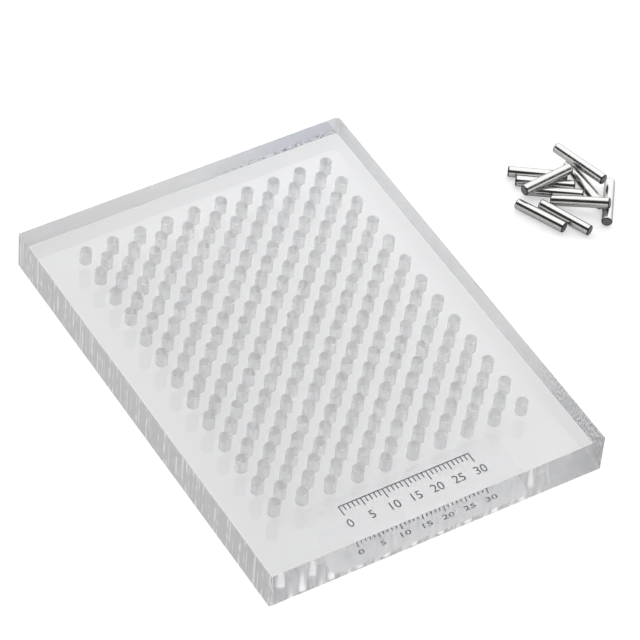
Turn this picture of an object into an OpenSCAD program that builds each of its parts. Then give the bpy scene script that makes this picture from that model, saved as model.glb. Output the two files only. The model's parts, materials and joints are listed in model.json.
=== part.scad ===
// Wire bending jig: a thick clear acrylic plate drilled with a field of blind holes,
// and ten loose steel pegs that drop into the holes for wire to be bent round.
// The origin is the centre of the plate's underside. +X runs across the plate, towards
// the heap of pegs, +Y runs along it, away from the wide margin, and +Z points up.

/* [Plate] */
// Width of the plate, across the columns of holes
plate_w = 76.6; // [50:0.1:160]
// Length of the plate, along the rows of holes
plate_l = 102.8; // [60:0.1:220]
// Thickness of the plate
plate_t = 9.0; // [8:0.1:16]
// Flat that breaks the plate's long edges, top and bottom
edge_break = 0.3; // [0.1:0.05:0.8]
// Flat that breaks the plate's upright corners
corner_break = 0.5; // [0.1:0.05:1.5]

/* [Hole field] */
// Distance between neighbouring holes of one grid
hole_pitch = 6.35; // [5:0.05:10]
// Depth of a hole's straight wall
hole_depth = 5.6; // [3:0.1:6.5]
// Angle of the drill point that ends each hole
drill_angle = 118; // [90:1:140]
// From the plate's left side to the first column
left_margin = 10.0; // [6:0.1:15]
// From the plate's near end to the first row, a wide margin to hold the plate by
near_margin = 16.0; // [8:0.1:25]
// Least solid left between the last holes and the far edges
far_margin = 9.0; // [4:0.1:12]

/* [Pegs] */
// Diameter of a peg
peg_d = 2.38; // [2:0.01:3]
// Length of a peg
peg_l = 12.6; // [9:0.1:15]
// Flat that breaks the rims of a peg
peg_break = 0.2; // [0.05:0.05:0.4]
// How much wider a hole is than a peg
peg_clearance = 0.16; // [0.05:0.01:0.4]

/* [Heap of pegs] */
// From the plate's right side to the middle of the heap
heap_out = 36.0; // [30:0.5:80]
// From the plate's middle to the middle of the heap, along the plate
heap_along = 14.0; // [-40:0.5:40]
// Gap between a peg and the one that it lies on
stack_gap = 0.04; // [0.02:0.01:0.2]

/* [Hidden] */

// Cutters reach this far past the face that they open
over = 0.5;

hole_d = peg_d + peg_clearance;
point_depth = hole_d / 2 / tan(drill_angle / 2);

// The outer grid fills the plate, and the inner one sits in the middles of its cells
columns = floor((plate_w - left_margin - far_margin) / hole_pitch) + 1;
rows = floor((plate_l - near_margin - far_margin) / hole_pitch) + 1;
first_x = -plate_w / 2 + left_margin;
first_y = -plate_l / 2 + near_margin;

heap_x = plate_w / 2 + heap_out;

// How each peg lies. Its first end is [across, along] from the middle of the heap, in
// peg diameters, so that thicker pegs lie as much further apart. Then come the heading
// of the rest of the peg, its layer, 0 on the table or 1 on other pegs, and how steeply
// it climbs. The first end is the one that has a neighbour, and the other one is free.
HEAP = [
    [ 1.11,  2.57, 145.5, 0, 0],     // three side by side
    [ 1.14,  1.26, 146,   0, 0],
    [ 1.13,  0.01, 146,   0, 0],
    [ 1.31,  2.54, 185.5, 1, 0],     // lies across those three
    [ 1.92, -1.18,  88,   0, 0],     // stands off their right ends
    [-1.75,  0.72, -43.5, 0, 11.8],  // climbs from the table on to the ninth
    [-4.85,  2.06, -65,   0, 0],     // two in front
    [-2.86,  0.68, -66.5, 0, 0],
    [ 4.26,  0.38, -126.5, 0, 0],    // under the end of the sixth
    [ 3.10,  0.20, 106,   1, 0],     // lies across the fifth
];

// A bar along Z whose outline is a rectangle with its four corners cut by a flat
module broken_bar(w, l, h, cut) {
    linear_extrude(h)
        polygon([
            for (s = [[1, 1], [-1, 1], [-1, -1], [1, -1]])
                let (steep = [w / 2 * s[0], (l / 2 - cut) * s[1]],
                     flat = [(w / 2 - cut) * s[0], l / 2 * s[1]])
                each (s[0] * s[1] > 0 ? [steep, flat] : [flat, steep])
        ]);
}

// The sheet: three bars, one along each direction, meet in a slab with every edge broken
module slab() {
    intersection() {
        broken_bar(plate_w, plate_l, plate_t, corner_break);
        translate([0, plate_l / 2 + over, plate_t / 2]) rotate([90, 0, 0])
            broken_bar(plate_w, plate_t, plate_l + 2 * over, edge_break);
        translate([-plate_w / 2 - over, 0, plate_t / 2]) rotate([90, 0, 90])
            broken_bar(plate_l, plate_t, plate_w + 2 * over, edge_break);
    }
}

// The space that the drill takes out: a straight wall that ends in the drill's point
module drilled_hole() {
    rotate_extrude($fn = 40)
        polygon([
            [0, over], [hole_d / 2, over],
            [hole_d / 2, -hole_depth], [0, -hole_depth - point_depth]
        ]);
}

// A grid of holes, nx by ny, whose first hole is moved by shift from the field's corner
module hole_grid(nx, ny, shift) {
    for (i = [0 : nx - 1], j = [0 : ny - 1])
        translate([first_x + shift + i * hole_pitch, first_y + shift + j * hole_pitch, plate_t])
            drilled_hole();
}

module jig_plate() {
    color([0.88, 0.90, 0.92, 0.45])
        difference() {
            slab();
            hole_grid(columns, rows, 0);
            hole_grid(columns - 1, rows - 1, hole_pitch / 2);
        }
}

// One peg along Z from the origin: a ground pin with both rims broken
module peg() {
    rotate_extrude($fn = 64)
        polygon([
            [0, 0], [peg_d / 2 - peg_break, 0], [peg_d / 2, peg_break],
            [peg_d / 2, peg_l - peg_break], [peg_d / 2 - peg_break, peg_l], [0, peg_l]
        ]);
}

// Peg number n, laid down in its place in the heap
module laid_peg(n) {
    place = HEAP[n - 1];
    color([0.70, 0.71, 0.72])
        translate([
            heap_x + place[0] * peg_d,
            heap_along + place[1] * peg_d,
            peg_d / 2 + place[3] * (peg_d + stack_gap)
        ])
            rotate([0, 90 - place[4], place[2]])
                peg();
}

jig_plate();
laid_peg(1);  // peg_1
laid_peg(2);  // peg_2
laid_peg(3);  // peg_3
laid_peg(4);  // peg_4
laid_peg(5);  // peg_5
laid_peg(6);  // peg_6
laid_peg(7);  // peg_7
laid_peg(8);  // peg_8
laid_peg(9);  // peg_9
laid_peg(10);  // peg_10
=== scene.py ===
# Looks of a wire bending jig: a thick clear plate drilled with a field of blind holes, a
# clear label with a plain rule under its wide margin, and ten loose steel pegs in a heap.
# Lengths are metres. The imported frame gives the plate, its holes and the lie of each peg.

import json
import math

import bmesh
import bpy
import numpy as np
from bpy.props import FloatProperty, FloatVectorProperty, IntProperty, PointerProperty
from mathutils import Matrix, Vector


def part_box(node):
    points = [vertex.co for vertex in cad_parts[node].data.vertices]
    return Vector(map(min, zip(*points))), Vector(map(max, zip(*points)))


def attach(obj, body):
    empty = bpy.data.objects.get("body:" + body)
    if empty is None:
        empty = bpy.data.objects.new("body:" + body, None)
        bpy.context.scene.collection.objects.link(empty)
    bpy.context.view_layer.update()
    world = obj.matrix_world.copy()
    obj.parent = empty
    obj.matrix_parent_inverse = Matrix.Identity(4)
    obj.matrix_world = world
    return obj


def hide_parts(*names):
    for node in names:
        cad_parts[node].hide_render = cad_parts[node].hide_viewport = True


bl_info = {
    "name": "Wire Jig Looks",
    "version": (1, 0, 0),
    "blender": (4, 5, 0),
    "location": "3D View > Sidebar > Wire Jig",
    "description": "Dresses a packed wire jig: drilled clear plate, printed rule, steel pegs and stage",
    "category": "Add Mesh",
}

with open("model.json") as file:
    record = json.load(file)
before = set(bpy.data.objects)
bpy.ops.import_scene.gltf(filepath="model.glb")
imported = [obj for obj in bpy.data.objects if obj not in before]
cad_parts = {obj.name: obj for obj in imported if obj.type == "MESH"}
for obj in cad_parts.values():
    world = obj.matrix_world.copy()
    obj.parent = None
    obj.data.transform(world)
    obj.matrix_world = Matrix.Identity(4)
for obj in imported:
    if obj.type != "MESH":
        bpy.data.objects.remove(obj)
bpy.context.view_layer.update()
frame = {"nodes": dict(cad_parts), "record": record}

MM = 0.001
# Points closer than this to each other are one point
MERGE = 1e-7
# A point closer than this to a face lies on it
SKIN = 0.05 * MM
# An edge that turns by more than this stays sharp
SHARP = math.radians(35)
WHITE = (1.0, 1.0, 1.0)
MOUNTS = {mount["name"]: mount for mount in frame["record"]["mounts"]}
PEGS = sorted(name for name in frame["nodes"] if name.startswith("peg_"))


# Sizes and finishes that a user would change

def colour_setting(name, description, default):
    """A colour."""
    return FloatVectorProperty(
        name=name, description=description, default=default, size=3, min=0.0, max=1.0, subtype="COLOR")


def share_setting(name, description, default):
    """A number from 0 to 1."""
    return FloatProperty(
        name=name, description=description, default=default, min=0.0, max=1.0, subtype="FACTOR")


def light_setting(name, description, default):
    """A brightness."""
    return FloatProperty(name=name, description=description, default=default, min=0.0)


def length_setting(name, description, default, low, high):
    """A length, given in millimetres and kept in metres."""
    return FloatProperty(
        name=name, description=description, default=default * MM, min=low * MM, max=high * MM,
        precision=5, unit="LENGTH")


def angle_setting(name, description, default, **limits):
    """An angle, given in degrees and kept in radians, and so are its limits."""
    limits = {end: math.radians(angle) for end, angle in limits.items()}
    return FloatProperty(
        name=name, description=description, default=math.radians(default), subtype="ANGLE", **limits)


class WireJigPlateSettings(bpy.types.PropertyGroup):
    edge_radius: length_setting(
        "Edge radius", "Rounding of the plate's long edges", 0.12, 0.05, 1.0)
    corner_radius: length_setting(
        "Corner radius", "Rounding of the plate's upright corners", 0.3, 0.1, 3.0)
    worn_corner_radius: length_setting(
        "Worn corner radius", "Rounding of the corner between the sawn edges", 0.9, 0.1, 3.0)
    drill_angle: angle_setting(
        "Drill angle", "Angle of the drill's point at the bottom of each hole", 118, min=90, max=140)
    hole_sides: IntProperty(
        name="Hole sides", description="Faces round each hole, a multiple of four",
        default=24, min=12, max=64, step=4)
    sheet_tint: colour_setting(
        "Sheet tint", "What the clear sheet lets through where it is polished", (0.966, 0.970, 0.980))
    rubbed_roughness: share_setting(
        "Rubbed roughness", "Roughness of the underside where it rubs on the bench", 0.26)
    dull_roughness: share_setting(
        "Dull roughness", "Roughness of the near edge towards its right end", 0.24)
    bore_tint: colour_setting(
        "Bore tint", "Colour of the satin walls of the drilled holes", (0.92, 0.92, 0.925))
    bore_clearness: share_setting(
        "Bore clearness", "How much of the light passes the drilled walls", 0.62)
    sawn_tint: colour_setting(
        "Sawn tint", "Colour of the edges that are only sawn", WHITE)
    cold_tint: colour_setting(
        "Cold tint", "Colour of the sawn edge at the far right", (0.68, 0.73, 0.85))
    torn_tint: colour_setting(
        "Torn tint", "Colour in the saw marks at the near right", (0.01, 0.02, 0.04))
    chip_tint: colour_setting(
        "Chip tint", "Colour in the chips along the foot of the cold edge", (0.08, 0.09, 0.12))
    sawn_clearness: share_setting(
        "Sawn clearness", "How much of the light passes the sawn edges", 0.46)
    saw_pitch: length_setting(
        "Saw pitch", "Width of the saw's marks on the two sawn edges", 0.25, 0.1, 1.0)
    trimmed_tint: colour_setting(
        "Trimmed tint", "Colour of the left edge, which a cutter has trimmed", (0.66, 0.66, 0.675))
    trimmed_clearness: share_setting(
        "Trimmed clearness", "How much of the light passes the trimmed edge", 0.22)


class WireJigLabelSettings(bpy.types.PropertyGroup):
    middle: FloatVectorProperty(
        name="Middle", description="Middle of the label on the plate's underside",
        default=(-0.5 * MM, -42.6 * MM), size=2, precision=5, unit="LENGTH")
    size: FloatVectorProperty(
        name="Size", description="Width and height of the label",
        default=(45.3 * MM, 12.7 * MM), size=2, precision=5, unit="LENGTH")
    corner_radius: length_setting(
        "Corner radius", "Rounding of the label's corners", 2.4, 0.1, 6.0)
    glued_roughness: share_setting(
        "Glued roughness", "Roughness of the plate where the label is glued to it", 0.26)
    film: colour_setting(
        "Film", "Colour of the clear film", (0.98, 0.98, 0.985))
    ink: colour_setting(
        "Ink", "Colour of the printed rule", (0.045, 0.05, 0.06))
    rule_length: IntProperty(
        name="Rule length", description="Number of millimetres on the rule",
        default=30, min=10, max=40, step=5)
    line_width: length_setting(
        "Line width", "Width of a printed line", 0.24, 0.1, 0.6)
    numeral_height: length_setting(
        "Numeral height", "Height of the figures under the rule", 2.0, 1.0, 4.0)


class WireJigPegSettings(bpy.types.PropertyGroup):
    rim_radius: length_setting(
        "Rim radius", "Rounding of a peg's two rims", 0.32, 0.05, 0.5)
    sides: IntProperty(
        name="Sides", description="Faces round a peg", default=64, min=16, max=128)
    steel: colour_setting(
        "Steel", "Colour of the ground side of a peg", (0.60, 0.60, 0.59))
    cut_end: colour_setting(
        "Cut end", "Colour of a peg's sheared ends", (0.21, 0.21, 0.215))
    # Painted shade: a nearly black colour on the rounded rims stands in for the dark ring of shade
    # round a peg's ends
    broken_rim: colour_setting(
        "Broken rim", "Colour of the tumbled rims round a peg's ends", (0.06, 0.06, 0.065))
    polish: share_setting(
        "Polish", "Roughness of the ground side", 0.05)


class WireJigStageSettings(bpy.types.PropertyGroup):
    azimuth: angle_setting(
        "Azimuth", "Where the camera stands round the plate", -34.787)
    elevation: angle_setting(
        "Elevation", "How steeply the camera looks down", 46.474)
    roll: angle_setting(
        "Roll", "Turn of the camera about its own line of sight", -5.487)
    distance: FloatProperty(
        name="Distance", description="From the camera to what it looks at",
        default=0.823015, min=0.1, unit="LENGTH")
    target: FloatVectorProperty(
        name="Target", description="The point in the middle of the picture",
        default=(6.784 * MM, 5.675 * MM, 4.5 * MM), size=3, precision=6, subtype="XYZ", unit="LENGTH")
    lens: FloatProperty(
        name="Lens", description="Focal length in millimetres on a sensor 36 mm wide",
        default=227.80, min=10.0)
    dome_light: light_setting(
        "Dome light", "Brightness of the white tent overhead", 1.62)
    back_light: light_setting(
        "Back light", "Brightness of the tent's far side at the floor", 1.27)
    front_light: light_setting(
        "Front light", "Brightness low down on the camera's side", 0.68)
    opening_light: light_setting(
        "Opening light", "Brightness of the dim room in the tent's opening", 0.055)
    opening_turn: angle_setting(
        "Opening turn", "Turn of the opening's middle from the camera", 4)
    floor: colour_setting(
        "Floor", "Colour of the pale floor", (0.66, 0.66, 0.66))
    floor_light: light_setting(
        "Floor light", "What the floor shines with from below", 0.10)
    pad: colour_setting(
        "Pad", "Colour of the lit pad that the plate lies on", (0.14, 0.14, 0.14))
    pad_light: light_setting(
        "Pad light", "What the pad shines with at its near left corner", 0.555)
    pad_rise: FloatVectorProperty(
        name="Pad rise", description="How much brighter the pad is at its right and far edges",
        default=(0.05, 0.09), size=2, min=0.0)
    floor_glow: light_setting(
        "Floor glow", "How much the floor is whitened where the picture shows it", 0.42)


# Mesh helpers

def grid_faces(rows, columns):
    """Quads between neighbouring rows of a grid whose rows are closed loops."""
    row = np.arange(rows - 1)[:, None] * columns
    here = np.arange(columns)[None, :]
    after = np.roll(here, -1, axis=1)
    corners = (row + here, row + after, row + columns + after, row + columns + here)
    return np.stack(corners, axis=-1).reshape(-1, 4)


def closed_mesh(name, points, faces, values=None, finish=None):
    """A closed mesh, smooth but for its sharp edges.

    Points closer than MERGE become one, which closes seams and poles, and faces drop the
    corners that fall together there. values holds numbers for the points, by name, and
    finish says for each face which of the materials it has.
    """
    _, first, place = np.unique(
        np.round(points / MERGE).astype(np.int64), axis=0, return_index=True, return_inverse=True)
    faces = place.reshape(-1)[faces]
    kept = faces != np.roll(faces, 1, axis=1)
    mesh = bpy.data.meshes.new(name)
    whole = kept.all(axis=1)
    pinched = kept.sum(axis=1) == 3
    triangles = faces[pinched][kept[pinched]].reshape(-1, 3)
    mesh.from_pydata(points[first], [], faces[whole].tolist() + triangles.tolist())
    if finish is not None:
        order = np.concatenate([finish[whole], finish[pinched]])
        mesh.polygons.foreach_set("material_index", order.astype(np.int32))
    for label, numbers in (values or {}).items():
        layer = mesh.attributes.new(label, "FLOAT", "POINT")
        layer.data.foreach_set("value", numbers[first].astype(np.float32))
    work = bmesh.new()
    work.from_mesh(mesh)
    bmesh.ops.recalc_face_normals(work, faces=work.faces)
    work.to_mesh(mesh)
    work.free()
    mesh.shade_smooth()
    mesh.set_sharp_from_angle(angle=SHARP)
    return mesh


def add_object(name, mesh, *materials):
    """Puts a mesh into the scene, at the origin, with its materials."""
    for material in materials:
        mesh.materials.append(material)
    piece = bpy.data.objects.new(name, mesh)
    bpy.context.scene.collection.objects.link(piece)
    return piece


# The drilled plate, with the places of its four finishes in its list of materials

POLISHED, DRILLED, SAWN, TRIMMED = range(4)


def zigzag(q):
    """Straight zigzag of period 4: it is 1 at q = 0, 0 at 1, -1 at 2 and 0 at 3."""
    return np.abs(np.mod(q, 4) - 2) - 1


def hole_centres(low, high, pitch):
    """Centres of two square grids, the second in the middles of the first one's cells."""
    columns, rows = np.round((high - low) / pitch).astype(int) + 1
    outer = np.stack(np.meshgrid(np.arange(columns), np.arange(rows)), axis=-1).reshape(-1, 2)
    inner = outer[(outer[:, 0] < columns - 1) & (outer[:, 1] < rows - 1)] + 0.5
    return low + pitch * np.concatenate([outer, inner])


def hole_surface(centres, top, half_cell, radius, wall, point, sides):
    """The flat round each hole and the hole in it, as rings that follow one another down.

    The turn q runs from 0 to 4. The first ring is the diamond cell that the hole has to
    itself, x = half_cell * zigzag(q) and y = half_cell * zigzag(q - 1), and the others are
    circles, x = r * cos(q * pi / 2) and y = r * sin(q * pi / 2). Their radii and depths
    follow the mouth, the straight wall and the drill's point, where r is 0.
    """
    q = np.arange(sides) * 4 / sides
    diamond = half_cell * np.stack([zigzag(q), zigzag(q - 1)], axis=-1)
    circle = np.stack([np.cos(q * np.pi / 2), np.sin(q * np.pi / 2)], axis=-1)
    radii = np.array([radius, radius, 0.0])
    depths = np.array([0.0, 0.0, wall, wall + point])
    rings = np.concatenate([diamond[None], radii[:, None, None] * circle], axis=0)
    flat = centres[:, None, None, :] + rings[None]
    height = np.broadcast_to((top - depths)[None, :, None, None], flat.shape[:3] + (1,))
    points = np.concatenate([flat, height], axis=-1)
    starts = np.arange(len(centres)) * len(depths) * sides
    faces = grid_faces(len(depths), sides)[None] + starts[:, None, None]
    finish = np.tile(np.repeat([POLISHED, DRILLED, DRILLED], sides), len(centres))
    return points.reshape(-1, 3), faces.reshape(-1, 4), finish


def rim_loops(low, high, field_low, field_high, half_cell, steps, corner_radii):
    """The hole field's zigzag edge, and the plate's outline with its outward normals.

    Along each side, s counts half cells: the edge stands off the outermost centres by
    half_cell * |1 - s mod 2|, and the outline's point lies straight out from it. Round each
    corner hole the edge runs straight from one side's tip to the next one's, and the
    outline's points spread over the plate's rounded corner, with the radius given for it.
    """
    turns = [np.array(turn, float) for turn in ((0, -1), (1, 0), (0, 1), (-1, 0))]
    edge, outline, normals = [], [], []
    for side, out in enumerate(turns):
        after = turns[(side + 1) % 4]
        starts_high = np.maximum(out, 0) + np.maximum(-after, 0) > 0
        ends_high = np.maximum(out, 0) + np.maximum(after, 0) > 0
        start = np.where(starts_high, field_high, field_low)
        end = np.where(ends_high, field_high, field_low)
        count = int(round(float(np.abs(end - start).sum()) / half_cell)) * steps
        s = (np.arange(count) / steps)[:, None]
        along = start + after * s * half_cell
        edge.append(along + out * half_cell * np.abs(1 - np.mod(s, 2)))
        plate = np.where(ends_high, high, low)
        outline.append(np.where(out != 0, plate, along))
        normals.append(np.broadcast_to(out, (count, 2)))

        f = (np.arange(steps) / steps)[:, None]
        edge.append(end + half_cell * ((1 - f) * out + f * after))
        bend = (np.arange(steps - 1) / (steps - 2) * np.pi / 2)[:, None]
        round_out = np.cos(bend) * out + np.sin(bend) * after
        centre = plate - corner_radii[side] * (out + after)
        outline.append(np.where(out != 0, plate, end)[None])
        outline.append(centre + corner_radii[side] * round_out)
        normals.append(out[None])
        normals.append(round_out)
    return np.concatenate(edge), np.concatenate(outline), np.concatenate(normals)


def plate_shell(edge, outline, normals, thickness, edge_radius, flat_hold, round_steps):
    """Everything of the plate outside the hole field, as loops that follow one another.

    A loop is outline - d * normal at height z. The first one is the field's edge. Then come
    the top flat, a quarter round where d = e (1 - sin a) and z = t - e (1 - cos a), the
    same round below, mirrored, and the underside, which ends in one point. The upright
    faces are sawn where the outline looks towards +X or +Y, and trimmed towards -X.
    """
    a = np.linspace(0, np.pi / 2, round_steps + 1)
    inset = edge_radius * (1 - np.sin(a))
    drop = edge_radius * (1 - np.cos(a))
    hold = edge_radius + flat_hold
    insets = np.concatenate([[hold], inset, inset[::-1], [hold]])
    heights = np.concatenate([[thickness], thickness - drop, drop[::-1], [0.0]])
    flat = outline[None] - insets[:, None, None] * normals[None]
    middle = np.broadcast_to((outline.max(0) + outline.min(0)) / 2, (1,) + outline.shape)
    flat = np.concatenate([edge[None], flat, middle], axis=0)
    heights = np.concatenate([[thickness], heights, [0.0]])
    height = np.broadcast_to(heights[:, None, None], flat.shape[:2] + (1,))
    points = np.concatenate([flat, height], axis=-1).reshape(-1, 3)
    slack = 0.01
    upright = (np.arange(len(heights) - 1) == round_steps + 2)[:, None]
    sawn = (normals.min(axis=1) > -slack)[None]
    trimmed = (normals[:, 0] < slack - 1)[None]
    finish = np.where(upright & sawn, SAWN, np.where(upright & trimmed, TRIMMED, POLISHED))
    return points, grid_faces(len(heights), len(outline)), finish.reshape(-1)


def build_plate(settings):
    """The whole plate as one closed mesh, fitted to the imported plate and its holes."""
    low, high = (np.array(corner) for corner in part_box("jig_plate"))
    bore = MOUNTS["peg_hole"]["dims"]
    pattern = MOUNTS["outer_field_corners"]
    middle = np.array(pattern["pos_m"][:2])
    reach = np.array([pattern["dims"]["spacing_x_mm"], pattern["dims"]["spacing_y_mm"]]) * MM / 2
    half_cell = MOUNTS["centre_cell"]["dims"]["pcd_mm"] * MM / 2
    radius = bore["r_mm"] * MM
    sides = settings.hole_sides // 4 * 4
    corner, worn = settings.corner_radius, settings.worn_corner_radius
    points, faces, finish = hole_surface(
        hole_centres(middle - reach, middle + reach, 2 * half_cell), high[2], half_cell, radius,
        bore["length_mm"] * MM, radius / math.tan(settings.drill_angle / 2), sides)
    loops = rim_loops(
        low[:2], high[:2], middle - reach, middle + reach, half_cell, sides // 4,
        (corner, worn, corner, corner))
    shell_points, shell_faces, shell_finish = plate_shell(
        *loops, high[2], settings.edge_radius, flat_hold=0.1 * MM, round_steps=3)
    return closed_mesh(
        "jig_plate_clear",
        np.concatenate([points, shell_points]),
        np.concatenate([faces, shell_faces + len(points)]),
        finish=np.concatenate([finish, shell_finish]))


# The pegs

def circle_centre(points):
    """Least squares centre of points that lie on one circle in space."""
    mean = points.mean(0)
    offset = points - mean
    rows = np.concatenate([2 * offset, np.ones((len(points), 1))], axis=1)
    answer = np.linalg.lstsq(rows, (offset ** 2).sum(1), rcond=None)[0]
    return mean + answer[:3]


def peg_axis(node):
    """A packed peg's start, direction, length and radius, measured on its own mesh."""
    mesh = frame["nodes"][node].data
    points = np.empty(len(mesh.vertices) * 3)
    mesh.vertices.foreach_get("co", points)
    points = points.reshape(-1, 3)
    direction = np.linalg.svd(points - points.mean(0), full_matrices=False)[2][0]
    along = points @ direction
    start = circle_centre(points[along < along.min() + SKIN])
    end = circle_centre(points[along > along.max() - SKIN])
    length = np.linalg.norm(end - start)
    axis = (end - start) / length
    off = points - start
    radius = np.linalg.norm(off - (off @ axis)[:, None] * axis, axis=1).max()
    return start, axis, length, radius


def peg_profile(radius, length, rim, rim_steps, hold):
    """Radius and place along the axis, from the middle of one end to that of the other.

    The end is flat out to radius - rim, then a quarter round, r = radius - rim (1 - sin a)
    and place = rim (1 - cos a), leads to the straight side. The other end mirrors it.
    """
    a = np.linspace(0, np.pi / 2, rim_steps + 1)
    r = np.concatenate([[0.0, radius - rim - hold], radius - rim * (1 - np.sin(a)), [radius]])
    place = np.concatenate([[0.0, 0.0], rim * (1 - np.cos(a)), [rim + hold]])
    return np.concatenate([r, r[::-1]]), np.concatenate([place, length - place[::-1]])


def build_peg(node, settings):
    """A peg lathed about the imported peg's axis: the profile carried round a full turn.

    Its points carry the places of the cut ends and of the rims, 1 there and 0 elsewhere,
    and how far along the peg they lie.
    """
    start, axis, length, radius = peg_axis(node)
    r, place = peg_profile(radius, length, settings.rim_radius, rim_steps=4, hold=0.05 * MM)
    turn = np.arange(settings.sides) * 2 * np.pi / settings.sides
    across = np.cross(axis, [0.0, 0.0, 1.0])
    across /= np.linalg.norm(across)
    upward = np.cross(across, axis)
    spoke = np.cos(turn)[:, None] * across + np.sin(turn)[:, None] * upward
    points = start + place[:, None, None] * axis + r[:, None, None] * spoke[None]
    flat_end = r < radius - settings.rim_radius + MERGE
    values = {"cut_end": flat_end, "rim": ~flat_end & (r < radius - MERGE), "along": place}
    return closed_mesh(
        node + "_steel", points.reshape(-1, 3), grid_faces(len(r), settings.sides),
        {name: np.repeat(numbers.astype(float), settings.sides) for name, numbers in values.items()})


# The label and its rule

def rounded_slab(low, high, radius, bottom, top, arc_steps):
    """A flat slab with rounded corners, as loops that follow one another upwards.

    The outline is four arcs, corner centre + radius * (cos a, sin a), with a through one
    quarter turn for each corner. The slab's loops are the outline's middle, the outline at
    the bottom, the outline at the top, and the middle again.
    """
    a = np.arange(4)[:, None] * np.pi / 2 + np.linspace(0, np.pi / 2, arc_steps + 1)[None]
    side = np.array([[1, 1], [-1, 1], [-1, -1], [1, -1]])[:, None]
    middle = (low + high) / 2
    centres = middle + side * ((high - low) / 2 - radius)
    outline = (centres + radius * np.stack([np.cos(a), np.sin(a)], axis=-1)).reshape(-1, 2)
    inner = np.broadcast_to(middle, outline.shape)
    flat = np.stack([inner, outline, outline, inner])
    height = np.broadcast_to(
        np.array([bottom, bottom, top, top])[:, None, None], flat.shape[:2] + (1,))
    return np.concatenate([flat, height], axis=-1).reshape(-1, 3), grid_faces(4, len(outline))


def line_boxes(lefts, tops, widths, heights, low, high):
    """Upright boxes, one for each printed line.

    Each corner is left or left + width, top or top - height, and low or high.
    """
    pick = np.array([[0, 0], [1, 0], [1, 1], [0, 1]])
    x = lefts[:, None] + widths[:, None] * pick[None, :, 0]
    y = tops[:, None] - heights[:, None] * pick[None, :, 1]
    level = np.broadcast_to(np.array([low, high])[None, :, None], (len(lefts), 2, 4))
    points = np.stack([np.repeat(x[:, None], 2, 1), np.repeat(y[:, None], 2, 1), level], axis=-1)
    box = np.concatenate([grid_faces(2, 4), [[3, 2, 1, 0], [4, 5, 6, 7]]])
    faces = box[None] + (np.arange(len(lefts)) * 8)[:, None, None]
    return points.reshape(-1, 3), faces.reshape(-1, 4)


def numeral_mesh(text, size, depth):
    """A figure's outlines as a thin closed mesh, its middle over the origin."""
    curve = bpy.data.curves.new("numeral", "FONT")
    curve.body = text
    curve.size = size
    curve.extrude = depth / 2
    curve.resolution_u = 6
    curve.align_x = "CENTER"
    holder = bpy.data.objects.new("numeral", curve)
    bpy.context.scene.collection.objects.link(holder)
    bpy.context.view_layer.update()
    mesh = bpy.data.meshes.new_from_object(holder.evaluated_get(bpy.context.evaluated_depsgraph_get()))
    bpy.data.objects.remove(holder)
    bpy.data.curves.remove(curve)
    return mesh


def build_rule(settings):
    """Lines a millimetre apart, longer at each fifth and tenth, with a figure at each fifth.

    The ink reaches a little way into the plate, as it is in full contact with it.
    """
    low, high = -0.008 * MM, 0.02 * MM
    tall, middling, short = 2.3 * MM, 1.9 * MM, 1.3 * MM
    shift, rise, gap = 0.1 * MM, 3.9 * MM, 1.2 * MM
    # A capital's height, as a share of the font's size
    cap_share = 0.69
    length, width = settings.rule_length * MM, settings.line_width
    step = np.arange(settings.rule_length + 1)
    heights = np.where(step % 10 == 0, tall, np.where(step % 5 == 0, middling, short))
    first = settings.middle[0] + shift - length / 2
    top = settings.middle[1] + rise
    lefts = first + step * MM - width / 2
    # The last box is the bar that the lines hang from
    points, faces = line_boxes(
        np.append(lefts, lefts[0]), np.append(np.full(len(step), top), top + width),
        np.append(np.full(len(step), width), length + width), np.append(heights, width), low, high)
    mesh = bpy.data.meshes.new("rule_print")
    mesh.from_pydata(points, [], faces.tolist())
    work = bmesh.new()
    work.from_mesh(mesh)
    foot = top - tall - gap - settings.numeral_height
    for number in range(0, settings.rule_length + 1, 5):
        figure = numeral_mesh(str(number), settings.numeral_height / cap_share, high - low)
        figure.transform(Matrix.Translation((first + number * MM, foot, (low + high) / 2)))
        work.from_mesh(figure)
        bpy.data.meshes.remove(figure)
    bmesh.ops.remove_doubles(work, verts=work.verts, dist=MERGE)
    bmesh.ops.recalc_face_normals(work, faces=work.faces)
    work.to_mesh(mesh)
    work.free()
    return mesh


def build_film(settings):
    """The label's film, thinner than a hair. Like the ink, it reaches a little into the plate."""
    bottom, top = -0.06 * MM, 0.012 * MM
    middle = np.array(settings.middle)
    half = np.array(settings.size) / 2
    points, faces = rounded_slab(
        middle - half, middle + half, settings.corner_radius, bottom, top, arc_steps=8)
    return closed_mesh("label_film", points, faces)


# Node helpers

def add_node(tree, kind, inputs=None, **settings):
    """Adds a node, sets its settings, and links or sets each of its named inputs."""
    node = tree.nodes.new(kind)
    for name, value in settings.items():
        setattr(node, name, value)
    for name, value in (inputs or {}).items():
        if isinstance(value, bpy.types.NodeSocket):
            tree.links.new(value, node.inputs[name])
        else:
            node.inputs[name].default_value = value
    return node


def math_node(tree, operation, first, *others):
    """A Math node's result, worked out again with each further value."""
    for other in others or (0.0,):
        node = add_node(tree, "ShaderNodeMath", {0: first, 1: other}, operation=operation)
        first = node.outputs[0]
    return first


def product(tree, *factors):
    """All the factors multiplied."""
    return math_node(tree, "MULTIPLY", *factors)


def vector_node(tree, operation, first, second=(0.0, 0.0, 0.0)):
    """A Vector Math node's result, which is a number for a length or a dot product."""
    outputs = add_node(
        tree, "ShaderNodeVectorMath", {0: first, 1: second}, operation=operation).outputs
    return outputs["Value" if operation in ("LENGTH", "DOT_PRODUCT") else "Vector"]


def axes_of(tree, vector):
    """The X, Y and Z of a vector."""
    return add_node(tree, "ShaderNodeSeparateXYZ", {0: vector}).outputs


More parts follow.
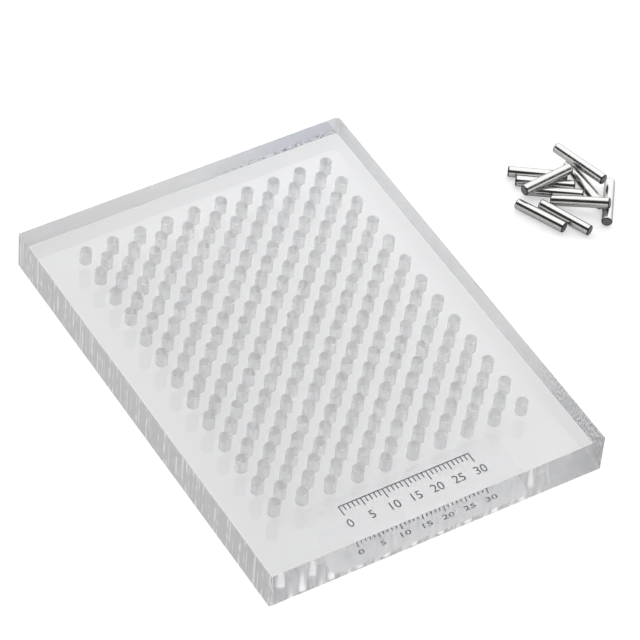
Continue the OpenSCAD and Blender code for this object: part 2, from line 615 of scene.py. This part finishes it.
def ramp(tree, value, low, high, before=0.0, after=1.0, shape="LINEAR"):
    """Goes straight from before to after while the value goes from low to high."""
    return add_node(
        tree, "ShaderNodeMapRange",
        {"Value": value, "From Min": low, "From Max": high, "To Min": before, "To Max": after},
        interpolation_type=shape).outputs["Result"]


def ease(tree, value, low, high, before=0.0, after=1.0):
    """Goes smoothly from before to after while the value goes from low to high."""
    return ramp(tree, value, low, high, before, after, "SMOOTHSTEP")


def noise(tree, place, scale=1.0, detail=0.0, roughness=0.5, on_line=False):
    """Smooth noise about 0.5, in space or along one line."""
    name, dimensions = ("W", "1D") if on_line else ("Vector", "3D")
    return add_node(
        tree, "ShaderNodeTexNoise",
        {name: place, "Scale": scale, "Detail": detail, "Roughness": roughness},
        noise_dimensions=dimensions).outputs["Fac"]


def in_marks(tree, along, width, up, height):
    """A place on an upright edge, counted in marks of this width and height."""
    across = math_node(tree, "DIVIDE", along, width)
    upward = math_node(tree, "DIVIDE", up, height)
    return add_node(tree, "ShaderNodeCombineXYZ", {"X": across, "Y": upward}).outputs[0]


def mix_colours(tree, factor, first, second):
    """A Mix node's colour between two colours or sockets."""
    first, second = (
        end if isinstance(end, bpy.types.NodeSocket) else (*end, 1.0) for end in (first, second))
    return add_node(
        tree, "ShaderNodeMix", {"Factor": factor, "A": first, "B": second},
        data_type="RGBA").outputs["Result"]


def lighter(colour, times):
    """A colour that many times as light, but no lighter than white."""
    return tuple(min(1.0, channel * times) for channel in colour)


def new_material(name, plain):
    """A material whose shader has the plain values, its tree, its shader and its coordinates."""
    material = bpy.data.materials.new(name)
    material.use_nodes = True
    tree = material.node_tree
    shader = tree.nodes["Principled BSDF"]
    for socket, value in plain.items():
        shader.inputs[socket].default_value = value
    return material, tree, shader, tree.nodes.new("ShaderNodeTexCoord").outputs["Object"]


def link_bump(tree, shader, height):
    """Gives a material's shader the relief of a height in metres."""
    bump = add_node(tree, "ShaderNodeBump", {"Strength": 1.0, "Distance": 1.0, "Height": height})
    tree.links.new(bump.outputs["Normal"], shader.inputs["Normal"])


def use_group(tree, name, inputs, output, work_out):
    """Places a shared node group, which is made at its first use, and gives its output.

    inputs holds the values by name. work_out(group, entry) makes the output's value in the
    group's tree from the sockets of its inputs.
    """
    group = bpy.data.node_groups.get(name)
    if group is None:
        group = bpy.data.node_groups.new(name, "ShaderNodeTree")
        for label in inputs:
            kind = "NodeSocketVector" if label == "Vector" else "NodeSocketFloat"
            group.interface.new_socket(label, in_out="INPUT", socket_type=kind)
        group.interface.new_socket(output, in_out="OUTPUT", socket_type="NodeSocketFloat")
        result = work_out(group, group.nodes.new("NodeGroupInput").outputs)
        group.links.new(result, group.nodes.new("NodeGroupOutput").inputs[output])
    return add_node(tree, "ShaderNodeGroup", inputs, node_tree=group).outputs[output]


# Effects that several finishes share

def tool_marks(tree, place, pitch, unevenness):
    """Parallel marks of a cutter along a line, each a little different.

    Their height is 0.5 + 0.25 sin(2 pi place / pitch) + unevenness * noise.
    """
    def work_out(group, entry):
        count = math_node(group, "DIVIDE", entry["Place"], entry["Pitch"])
        wave = math_node(group, "SINE", product(group, count, 2 * math.pi))
        rough = noise(group, count, scale=0.9, detail=2.0, roughness=0.6, on_line=True)
        return math_node(
            group, "ADD", product(group, wave, 0.25), 0.5, product(group, rough, entry["Unevenness"]))

    inputs = {"Place": place, "Pitch": pitch, "Unevenness": unevenness}
    return use_group(tree, "Tool marks", inputs, "Height", work_out)


def smudges(tree, place, scale, clean, smudged):
    """Faint patches of handling on a surface: the clean value, and the smudged one in them."""
    def work_out(group, entry):
        patches = noise(group, entry["Vector"], entry["Scale"], detail=3.0, roughness=0.55)
        return ease(group, patches, 0.45, 0.75, entry["Clean"], entry["Smudged"])

    inputs = {"Vector": place, "Scale": scale, "Clean": clean, "Smudged": smudged}
    return use_group(tree, "Handling smudges", inputs, "Amount", work_out)


# Finishes of the plate

def acrylic(name, clearness, plain=None):
    """A material of acrylic that lets the given share of the light through."""
    material, tree, shader, place = new_material(
        name, {"Transmission Weight": clearness, "IOR": 1.49, **(plain or {})})
    return material, tree, shader, place, axes_of(tree, place)


def label_mask(tree, place, settings):
    """1 where a point lies over the label, near the underside, and 0 elsewhere.

    It is in a rounded rectangle where the part of |p - middle| past the corners' centres is
    no longer than the corner radius.
    """
    radius = settings.corner_radius
    core = Vector((*settings.size, 2 * SKIN)) / 2 - Vector((radius, radius, 0.0))
    offset = vector_node(tree, "SUBTRACT", place, (*settings.middle, 0.0))
    past = vector_node(tree, "SUBTRACT", vector_node(tree, "ABSOLUTE", offset), core)
    length = vector_node(tree, "LENGTH", vector_node(tree, "MAXIMUM", past))
    return math_node(tree, "LESS_THAN", length, radius)


def clear_acrylic(settings, label):
    """Polished sheet with faint smudges, and satin in three places.

    The underside is satin where the label is glued on, and where it rubs on the bench,
    inside its left, near and far margins. The near edge is so towards its right end.
    """
    material, tree, shader, place, axes = acrylic(
        "clear_acrylic", 1.0, {"Base Color": (*settings.sheet_tint, 1.0)})
    low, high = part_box("jig_plate")
    left_fade = low[0] + 9 * MM, low[0] + 13 * MM
    near_fade = low[1] + 10 * MM, low[1] + 15 * MM
    far_fade = high[1] - 14 * MM, high[1] - 4 * MM
    dull_fade = high[0] - 15 * MM, high[0] - 7 * MM
    laid_roughness = 0.03
    under = math_node(tree, "LESS_THAN", axes["Z"], SKIN)
    near = math_node(tree, "LESS_THAN", axes["Y"], low[1] + SKIN)
    rubbed = product(
        tree, under, ease(tree, axes["X"], *left_fade), ease(tree, axes["Y"], *near_fade),
        ease(tree, axes["Y"], *far_fade, 1.0, 0.0), settings.rubbed_roughness)
    dull = product(tree, near, ease(tree, axes["X"], *dull_fade, 0.0, settings.dull_roughness))
    glued = product(tree, under, label_mask(tree, place, label), label.glued_roughness)
    laid = product(tree, under, laid_roughness)
    polish = smudges(tree, place, scale=90.0, clean=0.0, smudged=0.02)
    rough = math_node(tree, "MAXIMUM", polish, glued, rubbed, laid, dull)
    tree.links.new(rough, shader.inputs["Roughness"])
    return material


def drilled_acrylic(settings):
    """Satin wall of a drilled hole, with the drill's rings, a little different in each hole.

    Seen from the air the wall is white and matt, and from inside the plate it has the
    bore's tint and is nearly smooth.
    """
    material, tree, shader, place, axes = acrylic("drilled_acrylic", settings.bore_clearness)
    air_roughness, inner_roughness = 0.9, 0.08
    ring_pitch, ring_depth = 0.12 * MM, 0.022 * MM
    inside = tree.nodes.new("ShaderNodeNewGeometry").outputs["Backfacing"]
    patches = ramp(tree, noise(tree, place, scale=160.0, detail=2.0), 0.3, 0.7)
    colour = mix_colours(tree, patches, settings.bore_tint, lighter(settings.bore_tint, 1.04))
    tree.links.new(mix_colours(tree, inside, WHITE, colour), shader.inputs["Base Color"])
    tree.links.new(
        ramp(tree, inside, 0.0, 1.0, air_roughness, inner_roughness), shader.inputs["Roughness"])
    rings = tool_marks(tree, axes["Z"], ring_pitch, unevenness=0.7)
    link_bump(tree, shader, product(tree, rings, ring_depth))
    return material


def sawn_acrylic(settings):
    """Edge as the saw left it: cloudy, cold at the far right, torn and chipped in places.

    The saw's tall marks lean a little. The right edge is dimmer towards its near end, where
    the marks are torn deep and dark. The far edge turns cold towards its right end, up to
    just short of the corner, with white and black chips along the foot of that stretch.
    """
    material, tree, shader, place, axes = acrylic(
        "sawn_acrylic", settings.sawn_clearness, {"Roughness": 0.5})
    low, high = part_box("jig_plate")
    torn_fade = low[1] + 4 * MM, low[1] + 36 * MM
    cold_fade = 2 * MM, 26 * MM
    corner_fade = high[0] - 0.4 * MM, high[0]
    foot_fade = 0.5 * MM, 4 * MM
    mark_lean, mark_tallness, corner_lean = 0.19, 5, 0.3
    chip_size = 0.7 * MM
    sawn_depth, torn_depth = 0.02 * MM, 0.16 * MM
    far = math_node(tree, "GREATER_THAN", axes["Y"], high[1] - SKIN)
    right = math_node(tree, "SUBTRACT", 1.0, far)
    run = math_node(tree, "ADD", axes["X"], axes["Y"])
    slant = math_node(tree, "SUBTRACT", run, product(tree, axes["Z"], mark_lean))
    spot = in_marks(tree, slant, settings.saw_pitch, axes["Z"], settings.saw_pitch * mark_tallness)
    marks = noise(tree, spot, detail=2.0)
    chips = noise(tree, place, 1.0 / chip_size, detail=1.0)
    torn = product(tree, right, ease(tree, axes["Y"], *torn_fade, 1.0, 0.0))
    along = math_node(tree, "ADD", axes["X"], product(tree, axes["Z"], corner_lean))
    cold = product(
        tree, far, ease(tree, axes["X"], *cold_fade), ease(tree, along, *corner_fade, 1.0, 0.0))
    foot = product(tree, cold, ease(tree, axes["Z"], *foot_fade, 1.0, 0.0))
    dark = ease(tree, marks, 0.56, 0.44)
    dim = product(tree, right, ramp(tree, axes["Y"], low[1], high[1], 0.15, 0.01))
    scored = product(tree, dark, ramp(tree, torn, 0.0, 1.0, 0.07, 1.0))
    white = product(tree, foot, ease(tree, chips, 0.56, 0.59))
    black = product(tree, foot, ease(tree, chips, 0.44, 0.41))
    colour = mix_colours(tree, cold, settings.sawn_tint, settings.cold_tint)
    for cover, tint in (
            (dim, settings.torn_tint), (scored, settings.torn_tint),
            (white, WHITE), (black, settings.chip_tint)):
        colour = mix_colours(tree, cover, colour, tint)
    tree.links.new(colour, shader.inputs["Base Color"])
    depth = ease(tree, torn, 0.0, 1.0, sawn_depth, torn_depth)
    link_bump(tree, shader, product(tree, marks, depth))
    return material


def trimmed_acrylic(settings):
    """Edge as the cutter left it: faintly matt, with painted glints in straight upright lines, bright
    in places.
    """
    material, tree, shader, _, axes = acrylic(
        "trimmed_acrylic", settings.trimmed_clearness, {"Roughness": 0.3})
    line_width, stretch_width, stretch_height = 0.8 * MM, 1.4 * MM, 3 * MM
    lines = noise(tree, math_node(tree, "DIVIDE", axes["Y"], line_width), on_line=True)
    stretches = noise(tree, in_marks(tree, axes["Y"], stretch_width, axes["Z"], stretch_height))
    # Painted glints: white upright streaks mixed into the edge's colour, bright in places
    pale = product(tree, ease(tree, lines, 0.52, 0.60), ease(tree, stretches, 0.42, 0.58, 0.15))
    tree.links.new(
        mix_colours(tree, pale, settings.trimmed_tint, WHITE), shader.inputs["Base Color"])
    return material


# Finishes of the pegs and the label

def ground_steel(settings):
    """Ground and polished steel, with a painted shade that darkens its rounded rims, and dull sheared
    ends.
    """
    material, tree, shader, place = new_material("ground_steel", {"Metallic": 1.0})
    cut_roughness, smudge_roughness = 0.45, 0.06
    ring_pitch, ring_depth, torn_depth = 0.11 * MM, 0.006 * MM, 0.04 * MM
    cut, rim, along = (
        add_node(tree, "ShaderNodeAttribute", attribute_name=name).outputs["Fac"]
        for name in ("cut_end", "rim", "along"))
    colour = mix_colours(tree, cut, settings.steel, settings.cut_end)
    # The rims are coloured with the painted shade, nearly black
    tree.links.new(mix_colours(tree, rim, colour, settings.broken_rim), shader.inputs["Base Color"])
    polish = smudges(tree, place, 700.0, settings.polish, settings.polish + smudge_roughness)
    dull = product(tree, cut, cut_roughness)
    tree.links.new(math_node(tree, "MAXIMUM", polish, dull), shader.inputs["Roughness"])
    rings = product(tree, tool_marks(tree, along, ring_pitch, unevenness=0.9), ring_depth)
    torn = product(tree, cut, torn_depth, noise(tree, place, scale=4200.0, detail=3.0))
    link_bump(tree, shader, math_node(tree, "ADD", rings, torn))
    return material


def printed_ink(settings):
    """Matt dark ink, a little thinner in places."""
    material, tree, shader, place = new_material("label_ink", {"Roughness": 0.6})
    thinned = noise(tree, place, scale=3000.0, detail=3.0)
    colour = mix_colours(tree, thinned, settings.ink, lighter(settings.ink, 1.9))
    tree.links.new(colour, shader.inputs["Base Color"])
    return material


def label_film(settings):
    """Thin matt film that the floor shows through, a little clouded by its glue."""
    material, tree, shader, place = new_material(
        "label_film", {"Base Color": (*settings.film, 1.0), "Roughness": 0.7})
    cloud = smudges(tree, place, scale=400.0, clean=0.12, smudged=0.15)
    tree.links.new(cloud, shader.inputs["Alpha"])
    return material


# The stage

def camera_axes(settings):
    """Right, up and backward unit vectors of the camera, turned by its roll."""
    level = math.cos(settings.elevation)
    backward = Vector((
        math.sin(settings.azimuth) * level, -math.cos(settings.azimuth) * level,
        math.sin(settings.elevation)))
    right = Vector((0, 0, 1)).cross(backward).normalized()
    right = Matrix.Rotation(-settings.roll, 3, backward) @ right
    return right, backward.cross(right), backward


def add_camera(settings):
    """The camera at the photograph's viewing angle."""
    right, up, backward = camera_axes(settings)
    data = bpy.data.cameras.new("camera")
    data.sensor_fit = "HORIZONTAL"
    data.sensor_width = 36.0
    data.lens = settings.lens
    data.clip_start = 0.01
    data.clip_end = 20.0
    camera = bpy.data.objects.new("camera", data)
    place = Matrix((right, up, backward)).transposed().to_4x4()
    place.translation = Vector(settings.target) + backward * settings.distance
    camera.matrix_world = place
    bpy.context.scene.collection.objects.link(camera)
    bpy.context.scene.camera = camera


def floor_mesh(sides, radii, drop):
    """A flat round sheet, below the table by drop. Its points are a radius times the unit circle."""
    turn = np.arange(sides) * 2 * np.pi / sides
    ring = np.stack([np.cos(turn), np.sin(turn), np.zeros(sides)], axis=-1)
    points = (np.array(radii)[:, None, None] * ring[None]).reshape(-1, 3) - [0, 0, drop]
    mesh = bpy.data.meshes.new("floor")
    mesh.from_pydata(points, [], grid_faces(len(radii), sides)[:, ::-1].tolist())
    mesh.validate()
    return mesh


def floor_paper(settings):
    """Pale matt paper with a lit pad under the plate.

    The pad shines more towards its right and far edges, and eases into the plain floor a
    little to the right of the plate.
    """
    material, tree, shader, place = new_material(
        "floor_paper",
        {"Roughness": 1.0, "Specular IOR Level": 0.0, "Emission Color": (*WHITE, 1.0)})
    axes = axes_of(tree, place)
    low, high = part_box("jig_plate")
    pad_fade = high[0] + 6 * MM, high[0] + 14 * MM
    across = low[0], high[0]
    along = low[1], high[1]
    past = ease(tree, axes["X"], *pad_fade)
    tree.links.new(
        mix_colours(tree, past, settings.pad, settings.floor), shader.inputs["Base Color"])
    to_right = ramp(tree, axes["X"], *across, 0.0, settings.pad_rise[0])
    to_far = product(
        tree, ramp(tree, axes["Y"], *along, 0.0, settings.pad_rise[1]),
        ramp(tree, axes["X"], *across, 0.5, 1.3))
    shine = math_node(tree, "ADD", to_right, to_far, settings.pad_light)
    shine = ramp(tree, past, 0.0, 1.0, shine, settings.floor_light)
    seen = tree.nodes.new("ShaderNodeLightPath").outputs["Is Camera Ray"]
    glow = product(tree, seen, settings.floor_glow)
    tree.links.new(math_node(tree, "ADD", glow, shine), shader.inputs["Emission Strength"])
    return material


def add_floor(settings):
    """A wide pale sheet, just below what lies on it."""
    mesh = floor_mesh(sides=64, radii=(0.0, 0.3, 3.0), drop=0.1 * MM)
    material = floor_paper(settings)
    add_object("floor", mesh, material)


def add_light(settings):
    """A white tent that is open on the camera's side, where the room beyond is dim.

    With z the height of a direction and h the cosine of its level angle from the opening's
    middle, the opening lies where z is above 0.42, z - 0.03 h is below 0.90 and
    h + 0.9 (z - 0.5) is above 0.25. Past each of these it eases into the tent's white.
    """
    world = bpy.data.worlds.new("studio")
    bpy.context.scene.world = world
    world.use_nodes = True
    tree = world.node_tree
    tree.nodes.clear()
    side_fade, foot_fade, head_fade = (-0.15, 0.25), (0.20, 0.42), (0.90, 0.96)
    side_lean, head_lean, wall_height = 0.9, 0.03, 0.45
    direction = tree.nodes.new("ShaderNodeTexCoord").outputs["Generated"]
    height = axes_of(tree, direction)["Z"]
    level = vector_node(tree, "NORMALIZE", vector_node(tree, "MULTIPLY", direction, (1.0, 1.0, 0.0)))
    middle = settings.azimuth + settings.opening_turn
    facing = vector_node(tree, "DOT_PRODUCT", level, (math.sin(middle), -math.cos(middle), 0.0))

    wider = product(tree, math_node(tree, "SUBTRACT", height, 0.5), side_lean)
    near = ease(tree, math_node(tree, "ADD", facing, wider), *side_fade)
    foot = ease(tree, height, *foot_fade)
    lowered = math_node(tree, "SUBTRACT", height, product(tree, facing, head_lean))
    head = ease(tree, lowered, *head_fade, 1.0, 0.0)
    opening = product(tree, foot, head, near)
    horizon = ease(tree, near, 0.0, 1.0, settings.back_light, settings.front_light)
    wall = ease(tree, height, 0.0, wall_height, horizon, settings.dome_light)
    brightness = ease(tree, opening, 0.0, 1.0, wall, settings.opening_light)
    background = add_node(
        tree, "ShaderNodeBackground", {"Color": (*WHITE, 1.0), "Strength": brightness})
    output = tree.nodes.new("ShaderNodeOutputWorld")
    tree.links.new(background.outputs[0], output.inputs["Surface"])
    world.cycles.sampling_method = "MANUAL"
    world.cycles.sample_map_resolution = 512


def set_light_paths():
    """Enough bounces for light to cross the plate and its holes, and plain colours."""
    scene = bpy.context.scene
    cycles = scene.cycles
    cycles.max_bounces = 32
    cycles.transmission_bounces = 32
    cycles.glossy_bounces = 12
    cycles.diffuse_bounces = 6
    cycles.caustics_reflective = True
    cycles.caustics_refractive = True
    cycles.blur_glossy = 0.0
    cycles.sample_clamp_indirect = 8.0
    scene.view_settings.view_transform = "Standard"
    scene.view_settings.look = "None"


# Operators and panel

class WIREJIG_OT_stage(bpy.types.Operator):
    """Set up the pale floor, the soft studio light and the camera"""
    bl_idname = "wire_jig.stage"
    bl_label = "Stage"

    def execute(self, context):
        settings = context.scene.wire_jig_stage
        add_camera(settings)
        add_floor(settings)
        add_light(settings)
        set_light_paths()
        return {"FINISHED"}


class WIREJIG_OT_plate(bpy.types.Operator):
    """Build the clear plate with its drilled holes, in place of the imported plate"""
    bl_idname = "wire_jig.plate"
    bl_label = "Drilled plate"

    def execute(self, context):
        settings = context.scene.wire_jig_plate
        plate = add_object(
            "clear_plate", build_plate(settings), clear_acrylic(settings, context.scene.wire_jig_label),
            drilled_acrylic(settings), sawn_acrylic(settings), trimmed_acrylic(settings))
        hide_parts("jig_plate")
        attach(plate, "jig_plate")
        return {"FINISHED"}


class WIREJIG_OT_label(bpy.types.Operator):
    """Stick the clear label with its plain rule under the plate's wide margin"""
    bl_idname = "wire_jig.label"
    bl_label = "Label"

    def execute(self, context):
        settings = context.scene.wire_jig_label
        film = add_object("label_film", build_film(settings), label_film(settings))
        rule = add_object("label_rule", build_rule(settings), printed_ink(settings))
        for piece in (film, rule):
            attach(piece, "jig_plate")
        return {"FINISHED"}


class WIREJIG_OT_pegs(bpy.types.Operator):
    """Build the ten steel pegs, each in place of its packed peg"""
    bl_idname = "wire_jig.pegs"
    bl_label = "Steel pegs"

    def execute(self, context):
        settings = context.scene.wire_jig_pegs
        material = ground_steel(settings)
        if not PEGS:
            raise RuntimeError("the packed frame has no pegs")
        for node in PEGS:
            peg = add_object(node + "_ground", build_peg(node, settings), material)
            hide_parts(node)
            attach(peg, node)
        return {"FINISHED"}


STEPS = (
    (WIREJIG_OT_stage, "wire_jig_stage", WireJigStageSettings),
    (WIREJIG_OT_plate, "wire_jig_plate", WireJigPlateSettings),
    (WIREJIG_OT_label, "wire_jig_label", WireJigLabelSettings),
    (WIREJIG_OT_pegs, "wire_jig_pegs", WireJigPegSettings),
)


class WIREJIG_PT_looks(bpy.types.Panel):
    """A button and the settings of each step"""
    bl_idname = "WIREJIG_PT_looks"
    bl_label = "Wire Jig"
    bl_space_type = "VIEW_3D"
    bl_region_type = "UI"
    bl_category = "Wire Jig"

    def draw(self, context):
        for operator, name, settings in STEPS:
            box = self.layout.box()
            box.operator(operator.bl_idname)
            for setting in settings.__annotations__:
                box.prop(getattr(context.scene, name), setting)


def register():
    for operator, name, settings in STEPS:
        bpy.utils.register_class(settings)
        setattr(bpy.types.Scene, name, PointerProperty(type=settings))
        bpy.utils.register_class(operator)
    bpy.utils.register_class(WIREJIG_PT_looks)


def unregister():
    bpy.utils.unregister_class(WIREJIG_PT_looks)
    for operator, name, settings in reversed(STEPS):
        bpy.utils.unregister_class(operator)
        delattr(bpy.types.Scene, name)
        bpy.utils.unregister_class(settings)


def main():
    """Build everything in order."""
    register()
    bpy.ops.wire_jig.stage()
    bpy.ops.wire_jig.plate()
    bpy.ops.wire_jig.label()
    bpy.ops.wire_jig.pegs()


if __name__ == "__main__":
    main()
